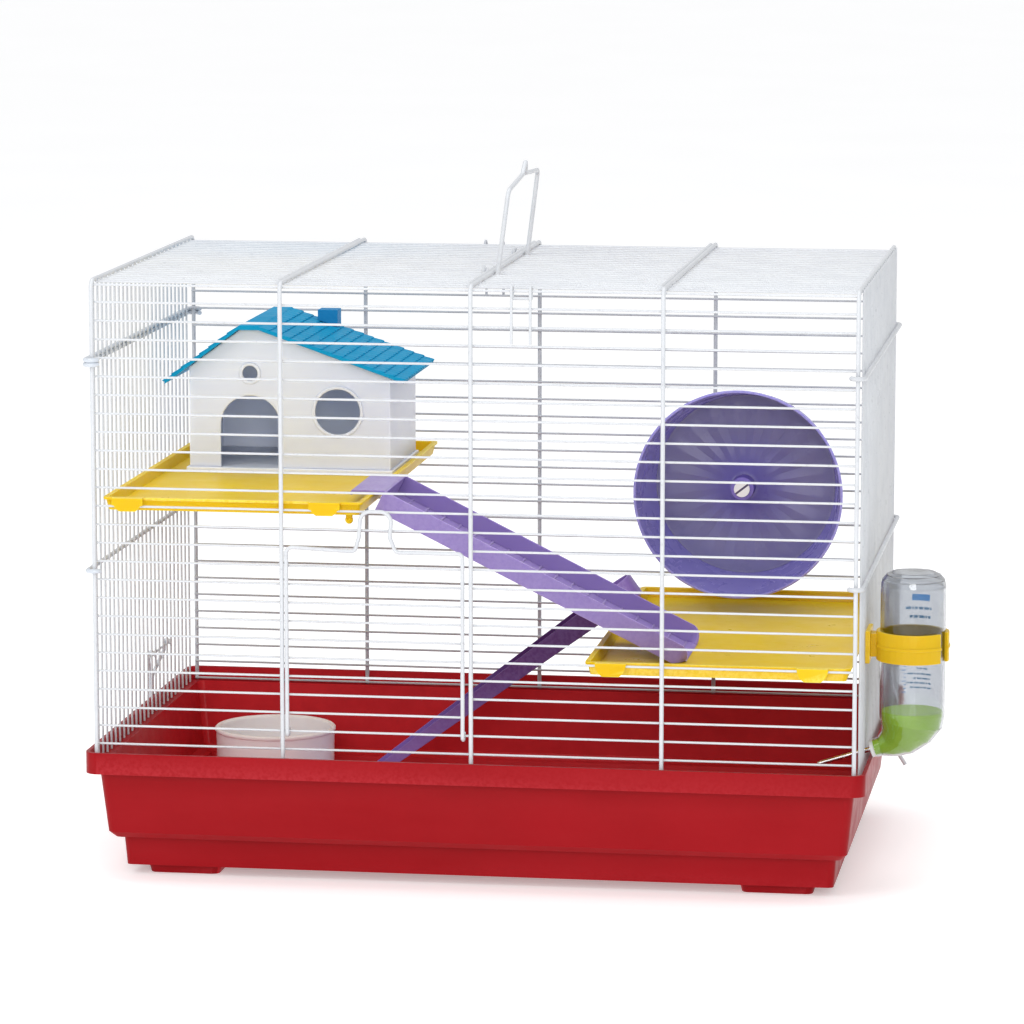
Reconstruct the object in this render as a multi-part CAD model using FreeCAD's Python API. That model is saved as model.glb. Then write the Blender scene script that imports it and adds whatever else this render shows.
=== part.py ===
"""Hamster cage: wire cage on a plastic tray, with platforms, ladders, house, wheel, bottle and bowl.

Units are millimetres and +Z is up. X runs along the long front of the tray (0 at the middle of the
tray), Y runs from the front (-150) to the back (+150) wire wall, and Z is 0 under the tray's lower tier.
Every shape is moved by ORIGIN on export: the origin is on the ground under the middle of the object.
"""
import FreeCAD
import Part
import math
import os

V = FreeCAD.Vector
X_AXIS = V(1, 0, 0)
Y_AXIS = V(0, 1, 0)
Z_AXIS = V(0, 0, 1)

# ---- overall layout
FOOT_H = 6.5
ORIGIN = V(-19.0, 0, FOOT_H)
PITCH = 12.0
HALF_W = 246.0
HALF_D = 150.0
TOP_Z = 384.0
ROW_COUNT = 26
BAY_X = (-246.0, -123.0, 0.0, 123.0, 246.0)

# ---- wire sizes
ROW_R = 0.75
HOOP_R = 1.4
ROD_R = 1.5
WELD = 0.05
HOOP_STEP = ROW_R + HOOP_R - WELD
CORNER_BEND = 5.0
CAGE_FOOT_Z = 70.8
SIDE_ROD_Z = (332.0, 198.0)

# ---- tray
RIM_X = 253.5
RIM_Y = 159.0
RIM_TOP = 79.0
RIM_CORNER = 9.0
RIM_BOTTOM = 65.0
LEDGE_Z = 70.5
TRAY_WALL = 2.5
TRAY_FLOOR_Z = 8.0
TIER_Z = 20.0

# ---- front door (bay 2), hinged on row 24
DOOR_X1 = -119.8
DOOR_X2 = -5.3
DOOR_ROW_TOP = 14
DOOR_ROW_HINGE = 24
DOOR_R = 1.3
DOOR_Y = -HALF_D - 2.6

# ---- carrying handle, turning on the middle pair of roof bars
HANDLE_R = 1.5
HANDLE_LOOP = 4.7
HANDLE_LEAN = 7.5
HANDLE_AXIS = V(-HOOP_R + 0.025, 0, TOP_Z + HOOP_STEP)

# ---- wire clips
CLIP_R = 0.9
CLIP_REACH = 2.95
TRAY_CLIP_R = 1.3
TRAY_CLIP_LOOP = ROW_R + TRAY_CLIP_R + 0.15
CLIP_Y = 48.0
CLIP_SPREAD = 24.0
CLIP_PIVOT_Z = 110.5

# ---- platforms
UPPER_ROW = 12
LOWER_ROW = 20
UPPER_RIM_Z = 245.5
UPPER_DEPTH = 6.5
UPPER_X = (-241.0, -71.0)
LOWER_RIM_Z = 146.0
LOWER_DEPTH = 6.5
LOWER_X = (73.0, 243.0)
PLATFORM_Y = (-148.5, 147.0)
PLATFORM_WALL = 2.0
PLATFORM_DRAFT = 3.0
PLATFORM_CORNER = 3.5

# ---- house
HOUSE_X = (-220.0, -82.0)
HOUSE_Y = (18.0, 119.0)
HOUSE_WALL = 2.0
HOUSE_BASE_Z = UPPER_RIM_Z - UPPER_DEPTH + 0.2
HOUSE_BASE_T = 3.5
ROOF_LINE = ((-235.0, 299.7), (-184.0, 337.2), (-170.0, 337.2), (-71.0, 302.9))
ROOF_Y = (8.0, 128.0)
ROOF_T = 3.0
ROOF_GAP = 0.4
HOUSE_DOOR = (-178.0, 20.5, 291.6)
HOUSE_WINDOWS = ((-178.0, 306.8, 5.2), (-118.0, 281.6, 15.4))

# ---- ladders
LADDER_T = 1.6
UPPER_LADDER_W = 75.0
UPPER_LADDER_H = 13.9
UPPER_SLOPE = 26.3
LOWER_LADDER_W = 52.0
LOWER_LADDER_H = 15.0
LOWER_SLOPE = 35.8

# ---- wheel
WHEEL_X = 147.0
WHEEL_Z = 222.5
WHEEL_FRONT_Y = 76.0
WHEEL_BACK_Y = 131.0
WHEEL_FRONT_R = 71.0
WHEEL_BACK_R = 63.5
WHEEL_T = 1.6
AXLE_R = 2.5
AXLE_GAP = 0.1

# ---- bottle
BOTTLE_X = 278.6
BOTTLE_Y = -96.0
BOTTLE_R = 21.0
BOTTLE_T = 1.2
BOTTLE_TOP_Z = 201.5
BOTTLE_FUNNEL_Z = 108.0
WATER_Z = 110.7
RING_Z = (144.0, 163.0)
SPOUT_DIR = V(-34.5, 0, -11.0).normalize()
NECK_START = V(258.6, BOTTLE_Y, 86.5)
NECK_END = NECK_START + SPOUT_DIR * 3.8

# ---- bowl
BOWL_X = -176.5
BOWL_Y = 88.0
BOWL_TOP_R = 42.0
BOWL_FOOT_R = 40.5
BOWL_H = 43.0


# =====================================================================================
# general helpers
# =====================================================================================
def box(x1, x2, y1, y2, z1, z2):
    return Part.makeBox(x2 - x1, y2 - y1, z2 - z1, V(x1, y1, z1))


def rod(start, end, radius):
    line = end - start
    return Part.makeCylinder(radius, line.Length, start, line)


def along_x(x1, x2, y, z, radius):
    return rod(V(x1, y, z), V(x2, y, z), radius)


def along_y(x, y1, y2, z, radius):
    return rod(V(x, y1, z), V(x, y2, z), radius)


def along_z(x, y, z1, z2, radius):
    return rod(V(x, y, z1), V(x, y, z2), radius)


def fuse(shapes):
    result = shapes[0].multiFuse(shapes[1:])
    return result.removeSplitter()


def bent_path(points, bend):
    """A line through the points, with each corner rounded to the given radius."""
    edges = []
    start = points[0]
    for i in range(1, len(points) - 1):
        corner = points[i]
        back = (points[i - 1] - corner).normalize()
        ahead = (points[i + 1] - corner).normalize()
        half = back.getAngle(ahead) / 2
        radius = bend[i - 1] if isinstance(bend, (list, tuple)) else bend
        cut = radius / math.tan(half)
        enter = corner + back * cut
        leave = corner + ahead * cut
        middle = corner + (back + ahead).normalize() * (radius / math.sin(half) - radius)
        edges.append(Part.LineSegment(start, enter).toShape())
        edges.append(Part.Arc(enter, middle, leave).toShape())
        start = leave
    edges.append(Part.LineSegment(start, points[-1]).toShape())
    return Part.Wire(edges)


def bent_wire(points, radius, bend):
    """A round wire that follows a bent path."""
    return swept(bent_path(points, bend), points[0], points[1] - points[0], radius)


def swept(path, start, direction, radius):
    section = Part.Wire([Part.makeCircle(radius, start, direction)])
    return path.makePipeShell([section], True, False)


def wire_arc(centre, axis, start, degrees, radius):
    """A round wire bent through an arc: it starts at the point 'start' and turns about the axis."""
    tangent = axis.cross(start - centre)
    face = Part.Face(Part.Wire([Part.makeCircle(radius, start, tangent)]))
    return face.revolve(centre, axis, degrees)


def rounded_outline(half_x, half_y, radius, z, x=0.0, y=0.0):
    """A closed rectangle with round corners, level at height z."""
    x1, x2, y1, y2 = x - half_x, x + half_x, y - half_y, y + half_y
    k = radius * (1 - math.sqrt(0.5))
    return Part.Wire(
        [
            Part.LineSegment(V(x1 + radius, y1, z), V(x2 - radius, y1, z)).toShape(),
            Part.Arc(V(x2 - radius, y1, z), V(x2 - k, y1 + k, z), V(x2, y1 + radius, z)).toShape(),
            Part.LineSegment(V(x2, y1 + radius, z), V(x2, y2 - radius, z)).toShape(),
            Part.Arc(V(x2, y2 - radius, z), V(x2 - k, y2 - k, z), V(x2 - radius, y2, z)).toShape(),
            Part.LineSegment(V(x2 - radius, y2, z), V(x1 + radius, y2, z)).toShape(),
            Part.Arc(V(x1 + radius, y2, z), V(x1 + k, y2 - k, z), V(x1, y2 - radius, z)).toShape(),
            Part.LineSegment(V(x1, y2 - radius, z), V(x1, y1 + radius, z)).toShape(),
            Part.Arc(V(x1, y1 + radius, z), V(x1 + k, y1 + k, z), V(x1 + radius, y1, z)).toShape(),
        ]
    )


def tapered_block(sections, x=0.0, y=0.0):
    """A solid through level rounded rectangles, each given as (half x, half y, radius, z)."""
    return Part.makeLoft([rounded_outline(*s, x, y) for s in sections], True, True)


def turned(points, x, y, z):
    """A solid of revolution about a vertical line, from (radius, height) points."""
    wire = Part.makePolygon([V(x + r, y, z + h) for r, h in points + points[:1]])
    return Part.Face(wire).revolve(V(x, y, z), Z_AXIS, 360)


def turned_y(points, x, z):
    """A solid of revolution about a line along Y, from (radius, y) points."""
    wire = Part.makePolygon([V(x + r, h, z) for r, h in points + points[:1]])
    return Part.Face(wire).revolve(V(x, 0, z), Y_AXIS, 360)


def slab_xz(points, y1, y2):
    """A prism along Y from an outline of (x, z) points."""
    wire = Part.makePolygon([V(px, y1, pz) for px, pz in points + points[:1]])
    return Part.Face(wire).extrude(V(0, y2 - y1, 0))


def row_z(row):
    return TOP_Z - PITCH * row


# =====================================================================================
# tray
# =====================================================================================
def tray_shell():
    """A two-tier pan with a raised floor, and a rim whose ledge carries the wire cage."""
    lower = tapered_block([(232.0, 132.0, 4.0, 0.0), (234.0, 134.0, 5.0, TIER_Z + 4)])
    upper = tapered_block(
        [(237.5, 140.5, 4.0, TIER_Z), (241.5, 144.5, 5.0, TIER_Z + 4), (246.5, 149.5, 6.0, LEDGE_Z)]
    )
    outside = (RIM_X, RIM_Y, RIM_CORNER)
    inside = (RIM_X - TRAY_WALL, RIM_Y - TRAY_WALL, RIM_CORNER - TRAY_WALL)
    rim = tapered_block([(*outside, RIM_BOTTOM), (*outside, RIM_TOP)])
    under_rim = tapered_block([(*inside, RIM_BOTTOM - 1), (*inside, LEDGE_Z - TRAY_WALL)])
    over_ledge = tapered_block([(*inside, LEDGE_Z), (*inside, RIM_TOP + 1)])
    under_z = TRAY_FLOOR_Z - TRAY_WALL
    under_floor = tapered_block([(229.5, 129.5, 2.0, -1.0), (229.5, 129.5, 2.0, under_z)])
    low_space = tapered_block([(229.5, 129.5, 3.0, TRAY_FLOOR_Z), (231.5, 131.5, 4.0, TIER_Z + 4)])
    high_space = tapered_block(
        [
            (235.0, 138.0, 3.0, TIER_Z + 2.5),
            (239.0, 142.0, 4.0, TIER_Z + 6),
            (244.0, 147.0, 4.5, LEDGE_Z + 1),
        ]
    )
    shell = rim.cut(under_rim).multiFuse([lower, upper])
    for space in (over_ledge, under_floor, low_space, high_space):
        shell = shell.cut(space)
    return shell.removeSplitter()


def tray_feet():
    feet = []
    top = TRAY_FLOOR_Z - TRAY_WALL
    for side in (-1, 1):
        for end in (-1, 1):
            x = 195.0 * side
            y = 112.0 * end
            feet.append(tapered_block([(23.0, 12.0, 5.0, -FOOT_H), (26.0, 14.0, 6.0, top)], x, y))
    return Part.makeCompound(feet)


# =====================================================================================
# wire cage
# =====================================================================================
def corner_row_offset():
    """How far the topmost row moves in from the corner so that it lies inside the hoop's bend."""
    reach = CORNER_BEND - HOOP_STEP
    return reach - reach * math.sqrt(0.5)


def front_rows():
    end = HALF_W + 0.6
    off = corner_row_offset()
    rows = [along_x(-end, end, -HALF_D + off, TOP_Z - off, ROW_R)]
    for n in range(1, ROW_COUNT + 1):
        if DOOR_ROW_TOP <= n < DOOR_ROW_HINGE:
            rows.append(along_x(-end, BAY_X[1] + 0.6, -HALF_D, row_z(n), ROW_R))
            rows.append(along_x(BAY_X[2] - 0.6, end, -HALF_D, row_z(n), ROW_R))
        else:
            rows.append(along_x(-end, end, -HALF_D, row_z(n), ROW_R))
    return Part.makeCompound(rows)


def back_rows():
    end = HALF_W + 0.6
    off = corner_row_offset()
    rows = [along_x(-end, end, HALF_D - off, TOP_Z - off, ROW_R)]
    for n in range(1, ROW_COUNT + 1):
        rows.append(along_x(-end, end, HALF_D, row_z(n), ROW_R))
    return Part.makeCompound(rows)


def roof_rows():
    end = HALF_W + 0.6
    count = int(2 * HALF_D / PITCH)
    return Part.makeCompound(
        [along_x(-end, end, -HALF_D + PITCH * k, TOP_Z, ROW_R) for k in range(1, count)]
    )


def uprights(side):
    """The vertical parts of the five hoops: side -1 is the front, +1 the back."""
    y = side * (HALF_D + HOOP_STEP)
    top = TOP_Z + HOOP_STEP - CORNER_BEND
    return Part.makeCompound([along_z(x, y, CAGE_FOOT_Z, top, HOOP_R) for x in BAY_X])


def hoop_corners():
    bends = []
    top = TOP_Z + HOOP_STEP
    for x in BAY_X:
        for side in (-1, 1):
            y = side * (HALF_D + HOOP_STEP)
            centre = V(x, y - side * CORNER_BEND, top - CORNER_BEND)
            start = V(x, y, top - CORNER_BEND)
            bends.append(wire_arc(centre, V(side, 0, 0), start, 90, HOOP_R))
    return Part.makeCompound(bends)


def roof_bars():
    reach = HALF_D + HOOP_STEP - CORNER_BEND
    z = TOP_Z + HOOP_STEP
    bars = [along_y(x, -reach, reach, z, HOOP_R) for x in BAY_X]
    beside = 2 * HOOP_R - WELD
    for x in BAY_X[1:4]:
        bars.append(along_y(x - beside, -reach + 4, reach - 4, z, HOOP_R))
    return Part.makeCompound(bars)


def side_wires(side):
    """The upright wires of one end panel, and the short wire that its tray clip turns on."""
    x = side * (HALF_W + HOOP_R + ROW_R - WELD)
    count = int(2 * HALF_D / PITCH)
    wires = [
        along_z(x, -HALF_D + PITCH * k, CAGE_FOOT_Z, TOP_Z + 2.5, ROW_R) for k in range(1, count)
    ]
    pivot_x = x + side * (2 * ROW_R - WELD)
    wires.append(along_y(pivot_x, CLIP_Y - 32, CLIP_Y + 32, CLIP_PIVOT_Z, ROW_R))
    return Part.makeCompound(wires)


def side_rods(side):
    """The heavy rods of one end panel, hooked round the corner uprights."""
    x = side * (HALF_W + HOOP_R + 2 * ROW_R + ROD_R - 2 * WELD)
    post_y = HALF_D + HOOP_STEP
    heights = list(SIDE_ROD_Z)
    if side < 0:
        heights.append(SIDE_ROD_Z[0] + 2 * ROD_R - WELD)
    parts = []
    for z in heights:
        parts.append(along_y(x, -post_y, post_y, z, ROD_R))
        for end in (-1, 1):
            centre = V(side * HALF_W, end * post_y, z)
            start = V(x, end * post_y, z)
            parts.append(wire_arc(centre, V(0, 0, side * end), start, 160, ROD_R))
    return Part.makeCompound(parts)


# =====================================================================================
# front door
# =====================================================================================
def door_posts():
    """The two door posts, each curled round the hinge row at its foot."""
    parts = []
    z = row_z(DOOR_ROW_HINGE)
    for x in (DOOR_X1, DOOR_X2):
        post = along_z(x, DOOR_Y, z, row_z(DOOR_ROW_TOP) - 6, DOOR_R)
        curl = wire_arc(V(x, -HALF_D, z), X_AXIS, V(x, DOOR_Y, z), 215, DOOR_R)
        parts.append(post.fuse(curl).removeSplitter())
    return Part.makeCompound(parts)


def door_top():
    """The top bar of the door, with the spring loop that snaps over the row above."""
    z = row_z(DOOR_ROW_TOP)
    points = [
        V(DOOR_X1, DOOR_Y, z - 6),
        V(DOOR_X1, DOOR_Y, z + 0.5),
        V(-75.0, DOOR_Y, z - 1.5),
        V(-72.3, DOOR_Y, z + 8),
        V(-71.3, DOOR_Y, z + 24.5),
        V(-50.8, DOOR_Y, z + 24.5),
        V(-52.3, DOOR_Y, z + 8),
        V(-48.5, DOOR_Y, z - 1.5),
        V(DOOR_X2, DOOR_Y, z - 1.5),
        V(DOOR_X2, DOOR_Y, z - 6),
    ]
    return bent_wire(points, DOOR_R, [4, 3.5, 5, 7, 7, 5, 3.5, 3])


def door_wires():
    y = DOOR_Y + DOOR_R + ROW_R - WELD
    return Part.makeCompound(
        [
            along_x(DOOR_X1 - 0.9, DOOR_X2 + 0.9, y, row_z(n), ROW_R)
            for n in range(DOOR_ROW_TOP + 1, DOOR_ROW_HINGE)
        ]
    )


# =====================================================================================
# handle and wire clips
# =====================================================================================
def handle_hook(y, degrees):
    """The point at an angle round the hook at one foot of the handle."""
    a = math.radians(degrees)
    return HANDLE_AXIS + V(HANDLE_LOOP * math.cos(a), y, -HANDLE_LOOP * math.sin(a))


def carry_handle():
    """A wire bail: two legs hooked under the middle roof bars, with a peak in its top bar."""
    x = HANDLE_AXIS.x + HANDLE_LOOP
    z = HANDLE_AXIS.z
    outline = [(-60, 0), (-60, 54), (-4, 60), (3, 69), (10, 60), (69, 57.5), (72, 0)]
    bail = bent_path([V(x, y, z + s) for y, s in outline], [6, 2.5, 1.8, 2.5, 5])
    near = Part.Arc(handle_hook(-60, 215), handle_hook(-60, 105), handle_hook(-60, 0)).toShape()
    far = Part.Arc(handle_hook(72, 0), handle_hook(72, 105), handle_hook(72, 215)).toShape()
    path = Part.Wire([near] + bail.Edges + [far])
    a = math.radians(215)
    handle = swept(path, handle_hook(-60, 215), V(-math.sin(a), 0, -math.cos(a)), HANDLE_R)
    handle.rotate(HANDLE_AXIS, Y_AXIS, HANDLE_LEAN)
    return handle


def top_clip(side, x1, x2, reach):
    """A wire hook over the top row: two hanging legs joined by a bar on the roof side."""
    off = corner_row_offset()
    row_y = side * (HALF_D - off)
    z = TOP_Z - off
    out_y = row_y + side * CLIP_REACH
    in_y = row_y - side * CLIP_REACH
    parts = [along_x(x1, x2, in_y, z - 5, CLIP_R)]
    for x in (x1, x2):
        parts.append(along_z(x, out_y, z - reach, z, CLIP_R))
        parts.append(wire_arc(V(x, row_y, z), V(side, 0, 0), V(x, out_y, z), 180, CLIP_R))
        parts.append(along_z(x, in_y, z - 5, z, CLIP_R))
        parts.append(Part.makeSphere(CLIP_R, V(x, in_y, z - 5)))
    return fuse(parts)


def clip_hook(side, y, degrees):
    """The point at an angle round the pivot wire; 0 is on the outside and 90 on top."""
    a = math.radians(degrees)
    pivot_x = side * (HALF_W + HOOP_R + 3 * ROW_R - 2 * WELD)
    x = pivot_x + side * TRAY_CLIP_LOOP * math.cos(a)
    return V(x, y, CLIP_PIVOT_Z + TRAY_CLIP_LOOP * math.sin(a))


def tray_clip(side):
    """A sprung wire clip: two arms hooked on a pivot wire, with legs that hang over the tray's rim."""
    leg_x = side * (RIM_X + TRAY_CLIP_R + 0.5)
    z = CLIP_PIVOT_Z
    arms = []
    for way in (-1, 1):
        y = CLIP_Y + way * CLIP_SPREAD
        leg_y = CLIP_Y + way * (TRAY_CLIP_R + 0.4)
        top = clip_hook(side, y, 0)
        points = [top, V(top.x, y, z - 5), V(leg_x, leg_y, z - 19)]
        bends = [2.5, 4.0]
        if way < 0:
            points.append(V(leg_x, leg_y, 66.0))
        else:
            points += [V(leg_x, leg_y, 60.0), V(leg_x + side * 9.5, leg_y, 45.0)]
            bends.append(4.0)
        hook = Part.Arc(clip_hook(side, y, 200), clip_hook(side, y, 100), top).toShape()
        path = Part.Wire([hook] + bent_path(points, bends).Edges)
        a = math.radians(200)
        direction = V(side * math.sin(a), 0, -math.cos(a))
        arms.append(swept(path, clip_hook(side, y, 200), direction, TRAY_CLIP_R))
    return Part.makeCompound(arms)


# =====================================================================================
# platforms
# =====================================================================================
def platform(x_range, rim_z, depth, row):
    """A shallow shelf tray with tabs that clip over a front row."""
    x = sum(x_range) / 2
    y = sum(PLATFORM_Y) / 2
    hx = (x_range[1] - x_range[0]) / 2
    hy = (PLATFORM_Y[1] - PLATFORM_Y[0]) / 2
    t = PLATFORM_WALL
    d = PLATFORM_DRAFT
    low = rim_z - depth - t
    r = PLATFORM_CORNER
    outer = tapered_block([(hx - d, hy - d, r - 1, low), (hx - 1, hy - 1, r - 0.5, rim_z)], x, y)
    space = tapered_block(
        [(hx - d - t, hy - d - t, r - 2, low + t), (hx - 1 - t, hy - 1 - t, r - 1.5, rim_z + 1)], x, y
    )
    lip = tapered_block([(hx, hy, r, rim_z - 1.6), (hx, hy, r, rim_z)], x, y)
    shelf = outer.fuse(lip).cut(space)
    parts = [shelf]
    for tab_x in (x_range[0] + 17, x_range[1] - 24):
        parts.append(platform_tab(tab_x, rim_z, row))
    return fuse(parts)


def platform_tab(x, rim_z, row):
    """A half-round tab in front of the wire row, joined to the shelf by a bridge over that row."""
    front_y = -HALF_D - ROW_R - 0.3 - 1.6
    disc = Part.makeCylinder(10.0, 1.6, V(x, front_y, rim_z), Y_AXIS)
    below = box(x - 10, x + 10, front_y, front_y + 1.6, rim_z - 8.5, rim_z)
    row_top = row_z(row) + ROW_R + WELD
    bridge = box(x - 10, x + 10, front_y, PLATFORM_Y[0] + 2, row_top, rim_z)
    return disc.common(below).fuse(bridge)


def platform_peg(x, rim_z, depth):
    """A round stud under the front edge that stops the shelf lifting off its row."""
    low = rim_z - depth - PLATFORM_WALL
    y = PLATFORM_Y[0] + 9
    stem = along_z(x, y, low - 4, low, 2.2)
    return stem.fuse(Part.makeSphere(2.6, V(x, y, low - 4)))


# =====================================================================================
# house
# =====================================================================================
def under_roof(x):
    """The height of the roof's underside above a given x."""
    for (x1, z1), (x2, z2) in zip(ROOF_LINE, ROOF_LINE[1:]):
        if x1 <= x <= x2:
            return z1 + (z2 - z1) * (x - x1) / (x2 - x1)
    raise ValueError("x is not under the roof")


def house_walls():
    low = HOUSE_BASE_Z + HOUSE_BASE_T
    t = HOUSE_WALL
    x1, x2 = HOUSE_X
    y1, y2 = HOUSE_Y
    tops = [(x, under_roof(x) - ROOF_GAP) for x in (x2, ROOF_LINE[2][0], ROOF_LINE[1][0], x1)]
    body = slab_xz([(x1, low), (x2, low)] + tops, y1, y2)
    room = box(x1 + t, x2 - t, y1 + t, y2 - t, low - 1, 400)
    walls = body.cut(room)
    rings = [
        Part.makeCylinder(r + 2.2, 1.0, V(x, y1 - 0.8, z), Y_AXIS) for x, z, r in HOUSE_WINDOWS
    ]
    walls = walls.multiFuse(rings)
    door_x, door_r, door_top = HOUSE_DOOR
    arch = Part.makeCylinder(door_r, 12, V(door_x, y1 - 5, door_top - door_r), Y_AXIS)
    jamb = box(door_x - door_r, door_x + door_r, y1 - 5, y1 + 7, low - 1, door_top - door_r)
    holes = [arch, jamb]
    for x, z, r in HOUSE_WINDOWS:
        holes.append(Part.makeCylinder(r, 12, V(x, y1 - 5, z), Y_AXIS))
    return walls.cut(holes).removeSplitter()


def house_base():
    x1, x2 = HOUSE_X
    y1, y2 = HOUSE_Y
    return box(x1 - 2, x2 + 2, y1 - 2.5, y2 + 1.5, HOUSE_BASE_Z, HOUSE_BASE_Z + HOUSE_BASE_T)


def roof_line(lift):
    return [(x, z + lift) for x, z in ROOF_LINE]


def house_roof():
    """The asymmetric roof: two slopes with a narrow flat ridge."""
    return slab_xz(roof_line(ROOF_T) + roof_line(0)[::-1], *ROOF_Y)


def house_chimney():
    blank = box(-149.5, -135.5, ROOF_Y[1] - 16.0, ROOF_Y[1] - 2.0, 315.0, 340.2)
    below = slab_xz(roof_line(ROOF_T) + [(ROOF_LINE[3][0], 250.0), (ROOF_LINE[0][0], 250.0)], 0, 200)
    return blank.cut(below)


# =====================================================================================
# ladders
# =====================================================================================
def ladder_channel(length, w, h, end_r):
    """A channel with cross ribs, square at x = 0 and with round corners in plan at the far end."""
    t = LADDER_T
    half_x = length / 2 + 15
    middle = (length / 2 - 15, w / 2)
    outline = tapered_block([(half_x, w / 2, end_r, 0), (half_x, w / 2, end_r, h)], *middle)
    inside = (half_x - t, w / 2 - t, end_r - t)
    space = tapered_block([(*inside, t), (*inside, h + 1)], *middle)
    beyond = box(-60, 0, -5, w + 5, -5, 30)
    ribs = []
    for k in range(1, int((length - end_r) / 12.0) + 1):
        ribs.append(box(12.0 * k, 12.0 * k + 1.4, t - 0.2, w - t + 0.2, t - 0.1, t + 0.6))
    return [outline.cut(space).cut(beyond)] + ribs


def upper_ladder():
    """The ramp from the upper shelf: its lip lies over the rim, its foot on the shelf below."""
    w = UPPER_LADDER_W
    y1 = -110.5
    head = box(0, LADDER_T, 0, w, 0, UPPER_LADDER_H)
    ramp = fuse(ladder_channel(224.0, w, UPPER_LADDER_H, 8.0) + [head])
    ramp.rotate(V(0, 0, 0), Y_AXIS, UPPER_SLOPE)
    ramp.translate(V(1.5, y1, -10.2))
    lip = slab_xz(
        [(8.0, 0.5), (7.6, 2.2), (-13.6, 2.2), (-15.2, 0.6), (-15.2, -1.2), (-13.6, -1.2), (-13.6, 0.5)],
        y1 + 3,
        y1 + w - 3,
    )
    whole = ramp.fuse(lip)
    whole.translate(V(UPPER_X[1], 0, UPPER_RIM_Z))
    ground = LOWER_RIM_Z - LOWER_DEPTH + 0.3
    return whole.cut(box(0, 300, -150, 0, 100, ground)).removeSplitter()


def lower_ladder():
    """The ramp from the tray's floor: its round head passes over the shelf's rim between two ribs."""
    w = LOWER_LADDER_W
    foot_x = -122.3
    foot_z = TRAY_FLOOR_Z + 0.4
    y1 = 29.5
    sole = box(0, LADDER_T, 0, w, 0, 5.0)
    ramp = fuse(ladder_channel(254.0, w, LOWER_LADDER_H, 22.0) + [sole])
    ramp.rotate(V(0, 0, 0), Y_AXIS, -LOWER_SLOPE)
    ramp.translate(V(foot_x, y1, foot_z))
    hooks = []
    for x in (LOWER_X[0] - 3.6, LOWER_X[0] + 7.0):
        under_z = foot_z + (x - foot_x) * math.tan(math.radians(LOWER_SLOPE))
        hooks.append(box(x, x + 1.8, y1 + 12, y1 + w - 12, LOWER_RIM_Z - 3.0, under_z + 0.8))
    return fuse([ramp] + hooks)


# =====================================================================================
# running wheel
# =====================================================================================
def wheel_rim():
    t = WHEEL_T
    y1, y2 = WHEEL_FRONT_Y, WHEEL_BACK_Y
    r1, r2 = WHEEL_FRONT_R, WHEEL_BACK_R
    wall = turned_y([(r1 - t, y1), (r1, y1), (r2, y2), (r2 - t, y2)], WHEEL_X, WHEEL_Z)
    bead = Part.makeTorus(r1 - t / 2, 1.3, V(WHEEL_X, y1 + 0.4, WHEEL_Z), Y_AXIS)
    return wall.fuse(bead).removeSplitter()


def wheel_disc():
    t = WHEEL_T
    y2 = WHEEL_BACK_Y
    edge = WHEEL_BACK_R - t
    disc = turned_y([(12.0, y2 - t), (edge, y2 - t), (edge, y2), (12.0, y2)], WHEEL_X, WHEEL_Z)
    ribs = []
    for k in range(20):
        rib = box(30.0, edge - 1, y2 - t - 0.9, y2 - t + 0.2, -0.5, 0.5)
        rib.rotate(V(0, 0, 0), Y_AXIS, 18.0 * k + 9)
        rib.translate(V(WHEEL_X, 0, WHEEL_Z))
        ribs.append(rib)
    return fuse([disc] + ribs)


def wheel_hub():
    """The hub boss: a flared skirt on the disc that narrows to the bearing sleeve."""
    y2 = WHEEL_BACK_Y
    bore = AXLE_R + AXLE_GAP
    return turned_y(
        [(bore, y2 - 25), (7.8, y2 - 25), (8.4, y2 - 9), (12.0, y2 - 3), (12.0, y2), (bore, y2)],
        WHEEL_X,
        WHEEL_Z,
    )


def axle_pin():
    """The fixed axle, with a slotted screw head in front of the hub."""
    y2 = WHEEL_BACK_Y
    shaft = along_y(WHEEL_X, y2 - 27, HALF_D + 4.0, WHEEL_Z, AXLE_R)
    head = along_y(WHEEL_X, y2 - 28.2, y2 - 25.4, WHEEL_Z, 5.4)
    slot = box(-7, 7, y2 - 29, y2 - 27.4, -0.7, 0.7)
    slot.rotate(V(0, 0, 0), Y_AXIS, -38)
    slot.translate(V(WHEEL_X, 0, WHEEL_Z))
    return shaft.fuse(head).cut(slot).removeSplitter()


def axle_bracket():
    """The plate inside the back wires that carries the axle."""
    z = WHEEL_Z
    plate = tapered_block([(13.0, 16.0, 5.0, 0), (13.0, 16.0, 5.0, 2.6)])
    plate.rotate(V(0, 0, 0), X_AXIS, 90)
    plate.translate(V(WHEEL_X, HALF_D - ROW_R - 0.1, z))
    boss = along_y(WHEEL_X, WHEEL_BACK_Y + 1.0, HALF_D - 3, z, 6.0)
    bore = along_y(WHEEL_X, 0, 200, z, AXLE_R)
    return plate.fuse(boss).cut(bore).removeSplitter()


def axle_nut():
    """The round cap outside the back wires that clamps the axle."""
    y1 = HALF_D + ROW_R + 0.1
    cap = along_y(WHEEL_X, y1, y1 + 4.2, WHEEL_Z, 9.0)
    bore = along_y(WHEEL_X, 0, HALF_D + 4.0, WHEEL_Z, AXLE_R)
    return cap.cut(bore)


# =====================================================================================
# drinking bottle
# =====================================================================================
def bottle_round(radius, x, z, tilt):
    """A circle across the bottle's bent lower end; tilt 0 is level, 90 faces the cage."""
    a = math.radians(tilt)
    normal = V(-math.sin(a), 0, -math.cos(a))
    return Part.Wire([Part.makeCircle(radius, V(x, BOTTLE_Y, z), normal)])


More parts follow.
